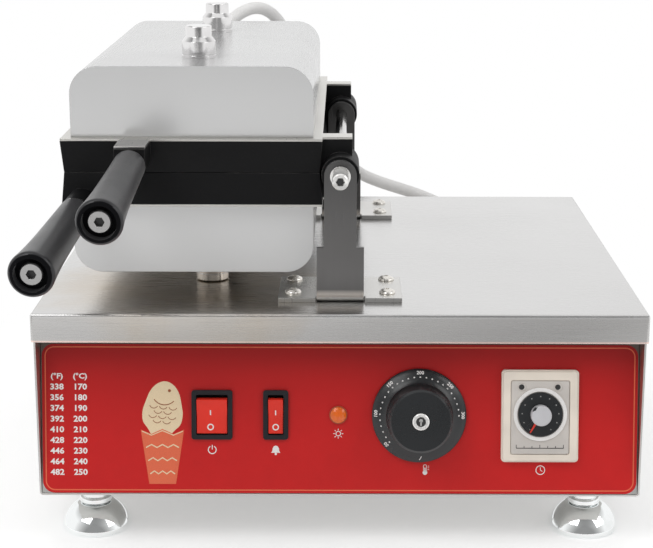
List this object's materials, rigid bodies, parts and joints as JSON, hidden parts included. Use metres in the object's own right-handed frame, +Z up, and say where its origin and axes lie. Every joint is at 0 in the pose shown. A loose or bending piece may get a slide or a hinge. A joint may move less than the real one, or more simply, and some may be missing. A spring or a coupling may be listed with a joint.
{
  "type": "taiyaki maker",
  "caption": "Worktop press with two hinged fish-shaped moulds on a cross shaft, side grips, and a control cabinet with switches, thermostat and timer.",
  "frame": {"origin": "on the floor, midway across the cabinet and midway between the grip ends and the rear glands", "axes": "+X to the operator's right, +Y from the control panel to the back and along the hinge shaft, +Z up"},
  "size_m": [0.386, 0.5518, 0.3242],
  "materials": {
    "lid_steel": "fine brushed",
    "case_steel": "fine brushed",
    "red_film": "printed gloss film",
    "foot_chrome": "polished",
    "zinc_steel": "zinc plated",
    "black_plastic": "moulded",
    "red_plastic": "moulded",
    "amber_plastic": "moulded",
    "amber_lens": "clear amber",
    "dial_plastic": "moulded",
    "bright_metal": "plated",
    "cream_plastic": "moulded",
    "grey_plastic": "moulded",
    "bracket_steel": "satin",
    "shaft_steel": "ground",
    "mould_casting": "black non-stick coating",
    "plate_steel": "satin",
    "heater_steel": "oxidised",
    "insulation_board": "pressed mineral fibre",
    "cover_steel": "satin",
    "post_steel": "turned",
    "grip_plastic": "moulded",
    "hose_sleeve": "woven silicone sleeve"
  },
  "bodies": {
    "cabinet": {"base_lid": "lid_steel", "body_tray": "case_steel", "back_panel": "case_steel", "front_panel": "case_steel", "panel_overlay": "red_film", "foot_front_left": "foot_chrome", "foot_front_right": "foot_chrome", "foot_rear_left": "foot_chrome", "foot_rear_right": "foot_chrome", "foot_nuts": "zinc_steel", "power_switch_body": "black_plastic", "alarm_switch_body": "black_plastic", "lamp_body": "amber_plastic", "lamp_lens": "amber_lens", "thermostat": "zinc_steel", "timer_case": "cream_plastic", "timer_face": "grey_plastic", "alarm_buzzer": "black_plastic", "terminal_block": "cream_plastic", "base_hose_gland": "bright_metal", "cord_gland": "black_plastic", "front_bracket": "bracket_steel", "rear_bracket": "bracket_steel", "bracket_screws": "bright_metal", "base_hose": "hose_sleeve"},
    "lower_head": {"lower_mould": "mould_casting", "lower_plate": "plate_steel", "lower_heater": "heater_steel", "lower_insulation": "insulation_board", "lower_cover": "cover_steel", "lower_posts": "post_steel", "lower_arm_washer": "bright_metal", "lower_grip": "grip_plastic", "lower_grip_bolt": "bright_metal", "lower_glands": "bright_metal", "hinge_shaft": "shaft_steel", "shaft_end_nuts": "shaft_steel", "shaft_collars": "bright_metal"},
    "upper_head": {"upper_mould": "mould_casting", "upper_plate": "plate_steel", "upper_heater": "heater_steel", "upper_insulation": "insulation_board", "upper_cover": "cover_steel", "upper_posts": "post_steel", "upper_arm_washer": "bright_metal", "upper_grip": "grip_plastic", "upper_grip_bolt": "bright_metal", "upper_gland": "bright_metal", "jumper_hose": "hose_sleeve"},
    "power_rocker": {"power_rocker": "red_plastic"},
    "alarm_rocker": {"alarm_rocker": "red_plastic"},
    "temperature_dial": {"temperature_dial": "dial_plastic", "dial_cap": "bright_metal"},
    "timer_dial": {"timer_dial": "dial_plastic"}
  },
  "joints": [
    {"name": "flip", "type": "hinge", "parent": "cabinet", "child": "lower_head", "pos_m": [0, 0, 0.23685], "axis": [0, 1, 0], "range_deg": [0, 175], "deforming": ["base_hose"]},
    {"name": "open", "type": "hinge", "parent": "lower_head", "child": "upper_head", "pos_m": [0, 0, 0.23685], "axis": [0, 1, 0], "range_deg": [0, 175], "deforming": ["jumper_hose"]},
    {"name": "power_switch", "type": "hinge", "parent": "cabinet", "child": "power_rocker", "pos_m": [-0.0813, -0.12419, 0.08532], "axis": [-1, 0, 0], "range_deg": [0, 16]},
    {"name": "alarm_switch", "type": "hinge", "parent": "cabinet", "child": "alarm_rocker", "pos_m": [-0.0408, -0.12419, 0.08532], "axis": [-1, 0, 0], "range_deg": [0, 16]},
    {"name": "temperature_turn", "type": "hinge", "parent": "cabinet", "child": "temperature_dial", "pos_m": [0.0504, -0.12764, 0.08593], "axis": [0, 0.9848, -0.1736], "range_deg": [0, 270]},
    {"name": "timer_turn", "type": "hinge", "parent": "cabinet", "child": "timer_dial", "pos_m": [0.127, -0.12739, 0.08731], "axis": [0, 0.9848, -0.1736], "range_deg": [0, 300]}
  ]
}
